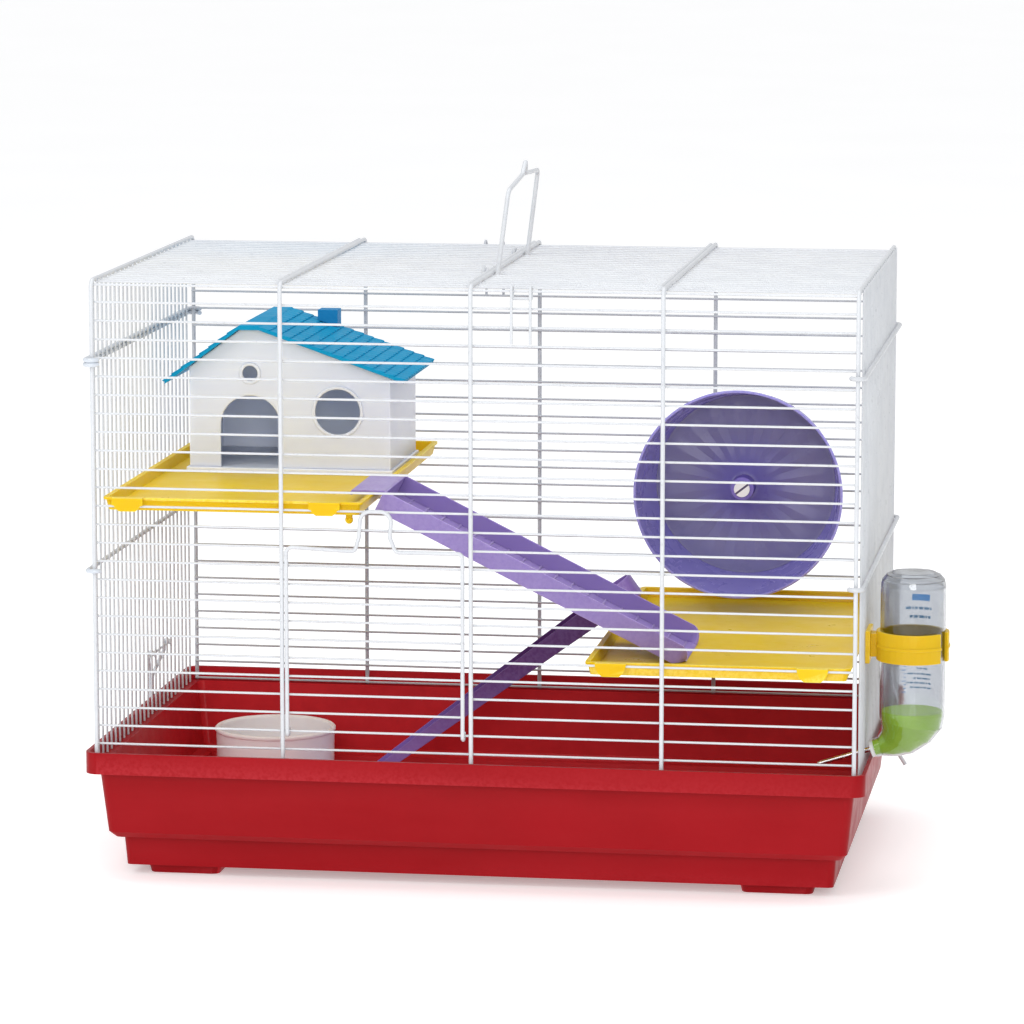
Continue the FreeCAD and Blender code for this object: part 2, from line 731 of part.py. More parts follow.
def bottle_body(inset):
    """The outside of the bottle, drawn in by 'inset' for its inside."""
    r = BOTTLE_R - inset
    z = BOTTLE_FUNNEL_Z
    top = BOTTLE_TOP_Z - inset
    dome = [(r, top - 9), (r - 0.9, top - 5), (r - 3.4, top - 2), (r - 7, top - 0.5)]
    upper = turned([(0, z), (r, z)] + dome + [(0, top)], BOTTLE_X, BOTTLE_Y, 0)
    funnel = Part.makeLoft(
        [
            bottle_round(r, BOTTLE_X, z, 0),
            bottle_round(20.3 - inset, 278.0, 102.5, 8),
            bottle_round(17.6 - inset, 274.8, 97.0, 22),
            bottle_round(13.6 - inset, 269.6, 91.8, 42),
            bottle_round(9.4 - inset, 264.0, 88.4, 60),
            bottle_round(6.4 - inset, 258.6, 86.5, 72),
        ],
        True,
        True,
    )
    neck = rod(NECK_START, NECK_END, 6.2 - inset)
    return fuse([upper, funnel, neck])


def bottle_shell():
    return bottle_body(0).cut(bottle_body(BOTTLE_T)).removeSplitter()


def bottle_liquid():
    inside = bottle_body(BOTTLE_T + 0.15)
    keep = box(200, 350, BOTTLE_Y - 40, BOTTLE_Y + 40, 60, WATER_Z)
    return inside.common(keep).removeSplitter()


def bottle_cap():
    """The plug in the bottle's neck that holds the spout."""
    cap = rod(NECK_END + SPOUT_DIR * 0.25, NECK_END + SPOUT_DIR * 2.65, 5.6)
    bore = rod(NECK_END - SPOUT_DIR, NECK_END + SPOUT_DIR * 5, 1.6)
    return cap.cut(bore)


def spout_tube():
    tube = rod(NECK_END + SPOUT_DIR * 0.3, NECK_END + SPOUT_DIR * 37.5, 1.6)
    return tube.cut(rod(NECK_END, NECK_END + SPOUT_DIR * 40, 1.0))


def spout_ball():
    """The steel ball that closes the tip of the spout."""
    ball = Part.makeSphere(1.35, NECK_END + SPOUT_DIR * 37.6)
    keep = rod(NECK_END + SPOUT_DIR * 37.5, NECK_END + SPOUT_DIR * 41, 3.0)
    return ball.common(keep)


def bottle_ring():
    """The holder band round the bottle: an open ring with a stiffening rib, on a neck to the bracket."""
    z1, z2 = RING_Z
    outer = along_z(BOTTLE_X, BOTTLE_Y, z1, z2, BOTTLE_R + 2.4)
    rib = along_z(BOTTLE_X, BOTTLE_Y, z1 + 8.5, z1 + 10.5, BOTTLE_R + 3.0)
    neck = box(252.0, BOTTLE_X - 19.5, BOTTLE_Y - 6, BOTTLE_Y + 6, z1 + 2, z2 - 2)
    inside = along_z(BOTTLE_X, BOTTLE_Y, z1 - 1, z2 + 1, BOTTLE_R + 0.02)
    mouth = box(10.0, 30.0, -4.5, 4.5, z1 - 1, z2 + 1)
    mouth.rotate(V(0, 0, 0), Z_AXIS, -25.0)
    mouth.translate(V(BOTTLE_X, BOTTLE_Y, 0))
    return fuse([outer, rib, neck]).cut(inside).cut(mouth).removeSplitter()


def ring_bracket():
    """The plate of the holder against the end panel, with pads that push in between its wires."""
    z1, z2 = RING_Z
    x1 = HALF_W + HOOP_R + 2 * ROW_R + 0.25
    plate = box(x1, 252.0, BOTTLE_Y - 15, BOTTLE_Y + 15, z1 - 1, z2 + 1)
    pads = [box(x1 - 2.6, x1, BOTTLE_Y - 3.5, BOTTLE_Y + 3.5, z, z + 4) for z in (z1 + 1, z2 - 5)]
    return fuse([plate] + pads)


# =====================================================================================
# bowl
# =====================================================================================
def food_bowl():
    r1, r2, h = BOWL_FOOT_R, BOWL_TOP_R, BOWL_H
    t = 2.6
    points = [
        (0, 1.5),
        (r1 - 4, 1.5),
        (r1 - 3, 0),
        (r1 - 0.8, 0),
        (r1, 1.0),
        (r2 - 0.9, h - 3.2),
        (r2, h - 2.2),
        (r2, h - 0.8),
        (r2 - 0.8, h),
        (r2 - t + 0.4, h),
        (r2 - t - 0.6, h - 1.2),
        (r1 - t, 9.0),
        (r1 - t - 4, 4.5),
        (0, 4.0),
    ]
    return turned(points, BOWL_X, BOWL_Y, TRAY_FLOOR_Z + 0.2)


# =====================================================================================
# export
# =====================================================================================
def build():
    return {
        "tray_shell": tray_shell(),
        "tray_feet": tray_feet(),
        "front_rows": front_rows(),
        "back_rows": back_rows(),
        "roof_rows": roof_rows(),
        "front_uprights": uprights(-1),
        "back_uprights": uprights(1),
        "hoop_corners": hoop_corners(),
        "roof_bars": roof_bars(),
        "left_side_wires": side_wires(-1),
        "right_side_wires": side_wires(1),
        "left_side_rods": side_rods(-1),
        "right_side_rods": side_rods(1),
        "door_posts": door_posts(),
        "door_top": door_top(),
        "door_wires": door_wires(),
        "carry_handle": carry_handle(),
        "front_top_clip": top_clip(-1, 26.2, 38.3, 33.5),
        "back_top_clip": top_clip(1, -37.5, -25.5, 35.0),
        "left_tray_clip": tray_clip(-1),
        "right_tray_clip": tray_clip(1),
        "upper_platform": platform(UPPER_X, UPPER_RIM_Z, UPPER_DEPTH, UPPER_ROW),
        "upper_platform_peg": platform_peg(UPPER_X[1] - 10, UPPER_RIM_Z, UPPER_DEPTH),
        "lower_platform": platform(LOWER_X, LOWER_RIM_Z, LOWER_DEPTH, LOWER_ROW),
        "house_walls": house_walls(),
        "house_base": house_base(),
        "house_roof": house_roof(),
        "house_chimney": house_chimney(),
        "upper_ladder": upper_ladder(),
        "lower_ladder": lower_ladder(),
        "wheel_rim": wheel_rim(),
        "wheel_disc": wheel_disc(),
        "wheel_hub": wheel_hub(),
        "axle_pin": axle_pin(),
        "axle_bracket": axle_bracket(),
        "axle_nut": axle_nut(),
        "bottle_shell": bottle_shell(),
        "bottle_liquid": bottle_liquid(),
        "bottle_cap": bottle_cap(),
        "spout_tube": spout_tube(),
        "spout_ball": spout_ball(),
        "bottle_ring": bottle_ring(),
        "ring_bracket": ring_bracket(),
        "food_bowl": food_bowl(),
    }


def export(shapes):
    os.makedirs("parts", exist_ok=True)
    for name, shape in shapes.items():
        placed = shape.copy()
        placed.translate(ORIGIN)
        placed.exportStep("parts/" + name + ".step")
        bounds = placed.BoundBox
        print(
            name,
            len(placed.Solids),
            placed.isValid(),
            "x %.1f..%.1f y %.1f..%.1f z %.1f..%.1f"
            % (bounds.XMin, bounds.XMax, bounds.YMin, bounds.YMax, bounds.ZMin, bounds.ZMax),
        )


export(build())
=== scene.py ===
import math

import bmesh
import bpy
from mathutils import Matrix, Vector


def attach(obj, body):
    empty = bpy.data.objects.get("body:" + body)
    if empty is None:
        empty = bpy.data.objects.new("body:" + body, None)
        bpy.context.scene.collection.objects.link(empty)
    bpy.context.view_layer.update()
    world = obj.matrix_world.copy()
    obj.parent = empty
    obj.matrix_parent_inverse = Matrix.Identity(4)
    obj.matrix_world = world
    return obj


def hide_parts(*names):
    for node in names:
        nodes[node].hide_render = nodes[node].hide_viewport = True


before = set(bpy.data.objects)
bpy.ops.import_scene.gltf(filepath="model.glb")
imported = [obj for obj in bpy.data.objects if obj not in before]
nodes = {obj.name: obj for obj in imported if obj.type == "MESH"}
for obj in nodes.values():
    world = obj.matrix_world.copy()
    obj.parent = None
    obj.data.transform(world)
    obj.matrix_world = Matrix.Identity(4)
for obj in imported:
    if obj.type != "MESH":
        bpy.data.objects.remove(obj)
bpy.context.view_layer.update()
scene = bpy.context.scene
scene.view_settings.view_transform = "Standard"
MM = 0.001
# The frame's origin is under the middle of the object, and these lead there from the middle of the tray.
ORIGIN_X = -19.0
ORIGIN_Z = 6.5

# The wheel, in millimetres: its axis, its open front, its disc at the back, and its wall.
WHEEL_X = 147.0
WHEEL_Z = 222.5
FRONT_Y = 76.0
BACK_Y = 131.0
FRONT_R = 71.0
BACK_R = 63.5
WALL = 1.5

# Where materials change colour, in metres in the frame's axes. Each pair goes from none of it to all of it.
TRAY_MIDDLE = (ORIGIN_X * MM, 0.0, 0.062)
LOWER_RAMP_SHADED = (0.055, 0.115)
LOWER_RAMP_HEAD_LIT = (0.160, 0.151)
HUB_COLOUR_FADES = (0.010, 0.040)
SCREW_SLOT_BEGINS = (0.1030, 0.1034)
SCREW_SLOT_ENDS = (0.1042, 0.1038)


# =====================================================================================
# node materials
# =====================================================================================
class Shader:
    """Builds one material's node tree round a Principled BSDF."""

    def __init__(self, name):
        self.material = bpy.data.materials.new(name)
        self.material.use_nodes = True
        self.tree = self.material.node_tree
        self.tree.nodes.clear()
        self.out = self.node("ShaderNodeOutputMaterial")
        self.bsdf = self.node("ShaderNodeBsdfPrincipled")
        self.link(self.bsdf.outputs[0], self.out.inputs[0])
        self.place = self.node("ShaderNodeTexCoord").outputs["Object"]
        self.normal = None

    def node(self, kind, **values):
        made = self.tree.nodes.new(kind)
        for key, value in values.items():
            setattr(made, key, value)
        return made

    def link(self, source, target):
        self.tree.links.new(source, target)

    def set(self, **values):
        for key, value in values.items():
            self.bsdf.inputs[key.replace("_", " ")].default_value = value

    def noise(self, scale, detail=3.0, rough=0.5, place=None, stretch=None):
        place = place or self.place
        if stretch:
            mapping = self.node("ShaderNodeMapping")
            mapping.inputs["Scale"].default_value = stretch
            self.link(place, mapping.inputs["Vector"])
            place = mapping.outputs[0]
        made = self.node("ShaderNodeTexNoise")
        made.inputs["Scale"].default_value = scale
        made.inputs["Detail"].default_value = detail
        made.inputs["Roughness"].default_value = rough
        self.link(place, made.inputs["Vector"])
        return made.outputs["Fac"]

    def ramp(self, source, stops):
        made = self.node("ShaderNodeValToRGB")
        bar = made.color_ramp
        while len(bar.elements) < len(stops):
            bar.elements.new(0.5)
        for element, (at, colour) in zip(bar.elements, stops):
            element.position = at
            grey = isinstance(colour, (int, float))
            element.color = (colour, colour, colour, 1) if grey else (*colour, 1)
        self.link(source, made.inputs[0])
        return made.outputs[0]

    def mix(self, factor, a, b, mode="MIX"):
        made = self.node("ShaderNodeMix", data_type="RGBA", blend_type=mode)
        for socket, value in ((made.inputs[0], factor), (made.inputs[6], a), (made.inputs[7], b)):
            if isinstance(value, (int, float)):
                socket.default_value = value if socket is made.inputs[0] else (value, value, value, 1)
            elif isinstance(value, tuple):
                socket.default_value = (*value, 1)
            else:
                self.link(value, socket)
        return made.outputs[2]

    def math(self, kind, a, b=0.0):
        made = self.node("ShaderNodeMath", operation=kind)
        for socket, value in ((made.inputs[0], a), (made.inputs[1], b)):
            if isinstance(value, (int, float)):
                socket.default_value = value
            else:
                self.link(value, socket)
        return made.outputs[0]

    def span(self, source, low, high, to_low=0.0, to_high=1.0):
        made = self.node("ShaderNodeMapRange")
        for i, value in enumerate((low, high, to_low, to_high), 1):
            made.inputs[i].default_value = value
        self.link(source, made.inputs[0])
        return made.outputs[0]

    def axis(self, index):
        made = self.node("ShaderNodeSeparateXYZ")
        self.link(self.place, made.inputs[0])
        return made.outputs[index]

    def bump(self, height, strength, distance):
        made = self.node("ShaderNodeBump")
        made.inputs["Strength"].default_value = strength
        made.inputs["Distance"].default_value = distance
        self.link(height, made.inputs["Height"])
        if self.normal:
            self.link(self.normal, made.inputs["Normal"])
        self.normal = made.outputs[0]
        self.link(self.normal, self.bsdf.inputs["Normal"])

    def colour(self, source):
        self.link(source, self.bsdf.inputs["Base Color"])

    def rough(self, source):
        self.link(source, self.bsdf.inputs["Roughness"])


def srgb(r, g, b):
    """A colour given as 0-255 screen values, in linear light."""
    return tuple(((c / 255 + 0.055) / 1.055) ** 2.4 if c > 10 else c / 255 / 12.92 for c in (r, g, b))


def darker(colour, k):
    return tuple(c * k for c in colour)


def moulded(name, colour, shade, edge, gloss=0.3, shine=0.2, through=0.0, tone=None, scratches=0.35):
    """Injection-moulded plastic: clouded colour, pale worn edges, faint flow marks and fine scratches.

    'through' is how far light spreads inside it, in metres; 'tone' may change the colour from place to place.
    """
    s = Shader(name)
    clouds = s.noise(9.0, 4.0, 0.6)
    flow = s.noise(26.0, 3.0, 0.55, stretch=(0.35, 1.0, 2.2))
    base = s.mix(s.span(clouds, 0.3, 0.72), shade, colour)
    base = s.mix(s.span(flow, 0.35, 0.8, 0.0, 0.22), base, tuple(min(1.0, c * 1.18 + 0.01) for c in colour))
    if tone:
        base = tone(s, base)
    wear = s.node("ShaderNodeNewGeometry").outputs["Pointiness"]
    grit = s.noise(420.0, 2.0, 0.6)
    worn = s.math("MULTIPLY", s.span(wear, 0.53, 0.62), s.span(grit, 0.35, 0.6, 0.35, 1.0))
    s.colour(s.mix(s.math("MULTIPLY", worn, 0.55), base, edge))
    lines = s.noise(55.0, 2.0, 0.5, stretch=(1.0, 1.0, 14.0))
    across = s.noise(60.0, 2.0, 0.5, stretch=(12.0, 1.0, 1.0))
    marks = s.math("MAXIMUM", s.span(lines, 0.66, 0.72), s.span(across, 0.68, 0.74))
    matt = s.span(s.noise(38.0, 4.0, 0.65), 0.3, 0.75, gloss * 0.78, gloss * 1.35)
    s.rough(s.math("ADD", matt, s.math("MULTIPLY", marks, 0.18 * scratches)))
    s.bump(s.noise(900.0, 2.0, 0.5), 0.10, 0.0002)
    s.bump(flow, 0.16, 0.0012)
    s.set(IOR=1.45, Specular_IOR_Level=shine, Coat_Weight=0.04, Coat_Roughness=0.12)
    if through:
        s.set(Subsurface_Weight=1.0, Subsurface_Radius=(1.0, 1.0, 1.0), Subsurface_Scale=through)
    return s


def painted_light_inside(s, base):
    """Painted light: the faces that look towards the tray's middle are painted a paler red, in uneven
    patches, to stand for light inside the tray.
    """
    offset = s.node("ShaderNodeVectorMath", operation="SUBTRACT")
    offset.inputs[1].default_value = TRAY_MIDDLE
    s.link(s.place, offset.inputs[0])
    facing = s.node("ShaderNodeVectorMath", operation="DOT_PRODUCT")
    s.link(offset.outputs[0], facing.inputs[0])
    s.link(s.node("ShaderNodeTexCoord").outputs["Normal"], facing.inputs[1])
    light_patches = s.span(s.noise(70.0, 4.0, 0.6), 0.3, 0.7, 0.75, 1.0)
    inside = s.math("MULTIPLY", s.span(facing.outputs["Value"], -0.004, -0.012), light_patches)
    return s.mix(inside, base, srgb(196, 38, 46))


def painted_shade_at_top(s, base):
    """Painted shade: the lower ramp is painted darker along its upper half, where it lies in shade, and paler
    again at the very head, as painted light where the head stands clear.
    """
    shaded = s.span(s.axis(2), *LOWER_RAMP_SHADED)
    shaded = s.math("MULTIPLY", shaded, s.span(s.axis(2), *LOWER_RAMP_HEAD_LIT))
    return s.mix(shaded, base, srgb(86, 46, 106))


def deep_at_hub(s, base):
    """The wheel's disc is coloured darker and more strongly towards its hub."""
    across = s.math("SUBTRACT", s.axis(0), (WHEEL_X + ORIGIN_X) * MM)
    up = s.math("SUBTRACT", s.axis(2), (WHEEL_Z + ORIGIN_Z) * MM)
    square = s.math("ADD", s.math("MULTIPLY", across, across), s.math("MULTIPLY", up, up))
    distance = s.math("SQRT", square)
    return s.mix(s.span(distance, *HUB_COLOUR_FADES), srgb(116, 108, 172), base)


def painted_shade_in_slot(s, base):
    """Painted shade: a band just behind the screw head's front face, where its slot is, is painted darker."""
    slot_shade = s.span(s.axis(1), *SCREW_SLOT_BEGINS)
    slot_shade = s.math("MULTIPLY", slot_shade, s.span(s.axis(1), *SCREW_SLOT_ENDS))
    return s.mix(slot_shade, base, srgb(92, 80, 112))


def coated_wire(name, colour, shade, gloss=0.34):
    """White coating on steel wire: orange-peel bump, thin grey dirt in the low spots."""
    s = Shader(name)
    dirt = s.span(s.noise(34.0, 5.0, 0.7), 0.42, 0.78)
    specks = s.span(s.noise(310.0, 3.0, 0.6), 0.62, 0.74)
    base = s.mix(s.math("MULTIPLY", dirt, 0.5), colour, shade)
    s.colour(s.mix(s.math("MULTIPLY", specks, 0.35), base, darker(shade, 0.72)))
    s.rough(s.span(s.noise(120.0, 3.0, 0.6), 0.3, 0.7, gloss * 0.75, gloss * 1.4))
    s.bump(s.noise(1500.0, 2.0, 0.5), 0.22, 0.00015)
    s.set(IOR=1.48, Coat_Weight=0.25, Coat_Roughness=0.18)
    return s


def steel(name, colour, gloss=0.22):
    """Drawn steel: fine lines, soft tarnish."""
    s = Shader(name)
    tarnish = s.span(s.noise(60.0, 5.0, 0.65), 0.35, 0.75)
    s.colour(s.mix(tarnish, colour, darker(colour, 0.7)))
    s.rough(s.span(s.noise(240.0, 4.0, 0.7), 0.3, 0.75, gloss * 0.7, gloss * 1.7))
    s.bump(s.noise(1400.0, 2.0, 0.6), 0.12, 0.0001)
    s.set(Metallic=1.0)
    return s


def clear(name, colour, rough, smears, ior=1.46, transmission=1.0, glow=0.0):
    """Clear plastic or liquid with smears and a wavy surface; 'glow' stands for light spread inside."""
    s = Shader(name)
    cloud = s.span(s.noise(60.0, 4.0, 0.6), 0.35, 0.75)
    s.colour(s.mix(cloud, colour, darker(colour, 0.92)))
    s.rough(s.span(s.noise(90.0, 4.0, 0.65), 0.35, 0.8, rough, rough + smears))
    s.bump(s.noise(70.0, 2.0, 0.5, stretch=(1.0, 1.0, 0.3)), 0.10, 0.0006)
    s.set(IOR=ior, Transmission_Weight=transmission, Emission_Color=(*colour, 1), Emission_Strength=glow)
    return s


def print_ink(name, colour, glow):
    """Thin screen-printed ink with small gaps; 'glow' stands for the light that comes through it."""
    s = Shader(name)
    gaps = s.span(s.noise(900.0, 2.0, 0.6), 0.60, 0.66)
    s.colour(s.mix(gaps, colour, tuple(min(1.0, c + 0.3) for c in colour)))
    s.rough(s.span(s.noise(500.0, 2.0, 0.5), 0.3, 0.7, 0.4, 0.6))
    s.bump(s.noise(1200.0, 2.0, 0.5), 0.1, 0.0001)
    s.set(Emission_Color=(*colour, 1), Emission_Strength=glow)
    return s


RING_YELLOW = srgb(206, 172, 34)

materials = {
    "tray": moulded(
        "tray_red", srgb(150, 12, 22), srgb(140, 9, 17), srgb(178, 48, 56), 0.38, 0.1, tone=painted_light_inside
    ),
    "wire": coated_wire("wire_white", srgb(206, 209, 213), srgb(186, 189, 196)),
    # Painted shade: a darker copy of the white wire, for the side panels.
    "side_wire": coated_wire("wire_on_sides_shaded", srgb(200, 203, 207), srgb(176, 180, 187)),
    "shade_wire": coated_wire("wire_in_shade", srgb(184, 187, 193), srgb(150, 153, 160), 0.4),
    "zinc": coated_wire("wire_zinc", srgb(200, 206, 214), srgb(178, 185, 196), 0.2),
    "yellow": moulded(
        "shelf_yellow", srgb(224, 190, 32), srgb(216, 178, 26), srgb(244, 224, 120), 0.34, 0.08, 0.002
    ),
    "ring": moulded("ring_yellow", RING_YELLOW, srgb(196, 160, 28), srgb(232, 208, 104), 0.3, 0.1, 0.002),
    "violet": moulded(
        "ramp_violet", srgb(150, 132, 188), srgb(140, 120, 180), srgb(198, 186, 220), 0.36, 0.15, 0.002
    ),
    "plum": moulded(
        "ramp_plum", srgb(142, 114, 188), srgb(130, 102, 178), srgb(162, 142, 200), 0.36, 0.15,
        tone=painted_shade_at_top
    ),
    "drum": moulded(
        "wheel_violet", srgb(142, 136, 200), srgb(128, 120, 190), srgb(190, 186, 226), 0.26, 0.2, 0.003
    ),
    "disc": moulded(
        "wheel_disc_violet", srgb(138, 135, 170), srgb(126, 121, 162), srgb(178, 176, 204), 0.3, 0.2, 0.003,
        deep_at_hub
    ),
    "hub": moulded("hub_violet", srgb(118, 100, 186), srgb(102, 84, 172), srgb(150, 138, 204), 0.3),
    "bracket": moulded("bracket_violet", srgb(104, 92, 164), srgb(88, 76, 148), srgb(138, 126, 188), 0.34),
    "roof": moulded("roof_blue", srgb(0, 148, 194), srgb(0, 134, 180), srgb(60, 172, 212), 0.48, 0.04),
    "chimney": moulded(
        "chimney_blue", srgb(26, 132, 186), srgb(20, 120, 174), srgb(76, 162, 208), 0.44, 0.08
    ),
    "house": moulded(
        "house_white", srgb(228, 233, 254), srgb(220, 225, 250), srgb(246, 248, 255), 0.44, 0.15, 0.003
    ),
    "bowl": moulded(
        "bowl_white", srgb(240, 238, 240), srgb(229, 227, 230), srgb(252, 252, 252), 0.32, 0.2, 0.003
    ),
    "steel": steel("plain_steel", (0.80, 0.80, 0.81), 0.2),
    "screw": moulded(
        "screw_white", srgb(238, 236, 240), srgb(226, 223, 229), srgb(252, 252, 252), 0.3, 0.3,
        tone=painted_shade_in_slot
    ),
    "cap": moulded("cap_grey", srgb(205, 208, 210), srgb(190, 194, 198), srgb(232, 234, 236), 0.35),
    "shell": clear("bottle_clear", (0.66, 0.68, 0.71), 0.03, 0.10),
    "liquid": clear("bottle_green", (0.58, 0.86, 0.12), 0.05, 0.05, 1.34, 0.35, 0.16),
    "ink_blue": print_ink("ink_blue", srgb(0, 150, 226), 0.8),
    "ink_slate": print_ink("ink_slate", srgb(50, 140, 190), 0.7),
}
# A little light of its own, so that the band's far side shows through the bottle.
materials["ring"].set(Emission_Color=(*RING_YELLOW, 1), Emission_Strength=0.15)

finish_of = {
    "tray": ["tray_shell", "tray_feet"],
    "wire": [
        "front_rows", "roof_rows", "front_uprights", "hoop_corners", "roof_bars", "door_posts", "door_top",
        "door_wires", "carry_handle", "front_top_clip", "right_tray_clip",
    ],
    "side_wire": ["left_side_wires", "right_side_wires", "right_side_rods"],
    "shade_wire": ["back_rows", "back_uprights", "back_top_clip"],
    "zinc": ["left_tray_clip", "left_side_rods"],
    "yellow": ["upper_platform", "upper_platform_peg", "lower_platform"],
    "ring": ["bottle_ring", "ring_bracket"],
    "violet": ["upper_ladder"],
    "plum": ["lower_ladder"],
    "drum": ["wheel_rim"],
    "disc": ["wheel_disc"],
    "hub": ["wheel_hub"],
    "bracket": ["axle_bracket", "axle_nut"],
    "roof": ["house_roof"],
    "chimney": ["house_chimney"],
    "house": ["house_walls", "house_base"],
    "bowl": ["food_bowl"],
    "steel": ["spout_tube", "spout_ball"],
    "screw": ["axle_pin"],
    "cap": ["bottle_cap"],
    "shell": ["bottle_shell"],
    "liquid": ["bottle_liquid"],
}
for finish, members in finish_of.items():
    for member in members:
        nodes[member].data.materials.clear()
        nodes[member].data.materials.append(materials[finish].material)

SOFT_EDGES = {
    "tray_shell": 1.1, "tray_feet": 0.8, "upper_platform": 0.6, "lower_platform": 0.6, "house_walls": 0.5,
    "house_base": 0.6, "house_chimney": 0.4, "bottle_ring": 0.4, "ring_bracket": 0.5, "axle_bracket": 0.5,
    "axle_nut": 0.6, "axle_pin": 0.25,
}
for name, width in SOFT_EDGES.items():
    weld = nodes[name].modifiers.new("join_corners", "WELD")
    weld.merge_threshold = 0.00001
    bevel = nodes[name].modifiers.new("soft_edges", "BEVEL")
    bevel.width = width * MM
    bevel.segments = 3
    bevel.limit_method = "ANGLE"
    bevel.angle_limit = math.radians(38)
    bevel.harden_normals = True


# =====================================================================================
# pieces built here
# =====================================================================================
def at(x, y, z):
    """A point given in millimetres from the middle of the tray's underside."""
    return Vector(((x + ORIGIN_X) * MM, y * MM, (z + ORIGIN_Z) * MM))


def piece(name, build, finish, body, stands_for=(), bevel=0.0, angle=35.0):
    """Turns a bmesh into a piece of the object that rides on a body."""
    bmesh.ops.recalc_face_normals(build, faces=build.faces)
    mesh = bpy.data.meshes.new(name)
    build.to_mesh(mesh)
    build.free()
    mesh.materials.append(materials[finish].material)
    mesh.shade_smooth()
    mesh.set_sharp_from_angle(angle=math.radians(angle))
    made = bpy.data.objects.new(name, mesh)
    scene.collection.objects.link(made)
    if bevel:
        soft = made.modifiers.new("soft_edges", "BEVEL")
        soft.width = bevel * MM
        soft.segments = 2
        soft.limit_method = "ANGLE"
        soft.angle_limit = math.radians(angle)
        soft.harden_normals = True
    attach(made, body)
    if stands_for:
        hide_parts(*stands_for)
    return made


def prism(build, outline, y1, y2):
    """A closed prism along Y from (x, z) points in millimetres."""
    near = [build.verts.new(at(x, y1, z)) for x, z in outline]
    far = [build.verts.new(at(x, y2, z)) for x, z in outline]
    build.faces.new(near)
    build.faces.new(far[::-1])
    for i in range(len(outline)):
        j = (i + 1) % len(outline)
        build.faces.new((near[i], far[i], far[j], near[j]))


def turned_y(build, profile, x, z, count, ripple=None):
    """Turns a closed (radius, y) profile about a line along Y; ripple(radius, angle) moves points along Y."""
    rings = []
    for k in range(count):
        a = 2 * math.pi * k / count
        ring = []
        for radius, y in profile:
            lift = ripple(radius, a) if ripple else 0.0
            ring.append(build.verts.new(at(x + radius * math.cos(a), y + lift, z + radius * math.sin(a))))
        rings.append(ring)
    for k in range(count):
        this, after = rings[k], rings[(k + 1) % count]
        for i in range(len(profile)):
            j = (i + 1) % len(profile)
            build.faces.new((this[i], this[j], after[j], after[i]))


# ---- the tiled roof
ROOF_LINE = ((-235.0, 299.7), (-184.0, 337.2), (-170.0, 337.2), (-71.0, 302.9))
ROOF_Y = (8.0, 128.0)
SHEET = 2.1
TILE_WIDTH = 9.2


def roof_tile(build, foot, along, out, s1, s2, y1, y2, thin, thick):
    """One tile as a wedge that gets thicker down the slope, with its lower corners cut."""
    cut = 1.4
    plan = [(s1, y1), (s1, y2), (s2 - cut, y2), (s2, y2 - cut), (s2, y1 + cut), (s2 - cut, y1)]
    top, base = [], []
    for s, y in plan:
        height = thin + (thick - thin) * (s - s1) / (s2 - s1)
        spot = foot + along * s
        high = spot + out * (SHEET + height)
        low = spot + out * (SHEET - 0.3)
        top.append(build.verts.new(at(high.x, y, high.y)))
        base.append(build.verts.new(at(low.x, y, low.y)))
    build.faces.new(top)
    build.faces.new(base[::-1])
    for i in range(len(plan)):
        j = (i + 1) % len(plan)
        build.faces.new((top[i], base[i], base[j], top[j]))


roof = bmesh.new()
lines = [Vector(point) for point in ROOF_LINE]
upper = [(p.x, p.y + SHEET * 1.05) for p in lines]
prism(roof, upper + [(p.x, p.y) for p in lines[::-1]], *ROOF_Y)
for start, end, courses in ((lines[2], lines[3], 14), (lines[1], lines[0], 8)):
    run = end - start
    along = run.normalized()
    out = Vector((-along.y, along.x))
    if out.y < 0:
        out = -out
    step = run.length / courses
    for course in range(courses):
        shift = 0.0 if course % 2 else TILE_WIDTH / 2
        y = ROOF_Y[0] - shift
        while y < ROOF_Y[1]:
            y1 = max(y + 0.25, ROOF_Y[0])
            y2 = min(y + TILE_WIDTH - 0.25, ROOF_Y[1])
            if y2 - y1 > 3.2:
                head, tail = course * step, (course + 1) * step + 0.2
                roof_tile(roof, start, along, out, head, tail, y1, y2, 0.1, 0.85)
            y += TILE_WIDTH
ridge_y = ROOF_Y[0]
while ridge_y < ROOF_Y[1] - 1:
    cap_end = min(ridge_y + 11.6, ROOF_Y[1])
    z = lines[1].y + SHEET
    cap = [
        (lines[1].x - 2.2, z - 2.0), (lines[1].x + 0.5, z + 0.9), (lines[2].x - 0.5, z + 0.9),
        (lines[2].x + 2.4, z - 1.2),
    ]
    prism(roof, cap, ridge_y + 0.2, cap_end)
    ridge_y += 12.0
piece("house_roof_tiled", roof, "roof", "house_lid", ["house_roof"], 0.22, 30.0)

# ---- the wheel: a flared drum, and a pleated disc that rises to the hub
drum = bmesh.new()
turned_y(
    drum,
    [
        (FRONT_R - WALL, FRONT_Y + 1.5), (FRONT_R - 1.3, FRONT_Y - 0.3), (FRONT_R - 0.7, FRONT_Y - 0.8),
        (FRONT_R + 0.3, FRONT_Y - 0.4), (FRONT_R + 0.5, FRONT_Y + 0.5), (FRONT_R, FRONT_Y + 1.6),
        (BACK_R + 0.4, BACK_Y - 3.0), (BACK_R - 1.2, BACK_Y - 0.2), (BACK_R - 2.6, BACK_Y - 0.2),
        (BACK_R - WALL + 0.2, BACK_Y - 3.4),
    ],
    WHEEL_X, WHEEL_Z, 160,
)
piece("wheel_drum", drum, "drum", "running_wheel", ["wheel_rim"])


def pleat(radius, angle):
    """The disc's pleats: sharp ridges that fade out at the hub and at the edge."""
    turn = (angle * 20 / (2 * math.pi)) % 1.0
    wave = 1.0 - abs(2 * turn - 1.0)
    fade = min(1.0, max(0.0, (radius - 15.0) / 16.0)) * min(1.0, max(0.0, (58.5 - radius) / 4.0))
    return -1.3 * wave * fade


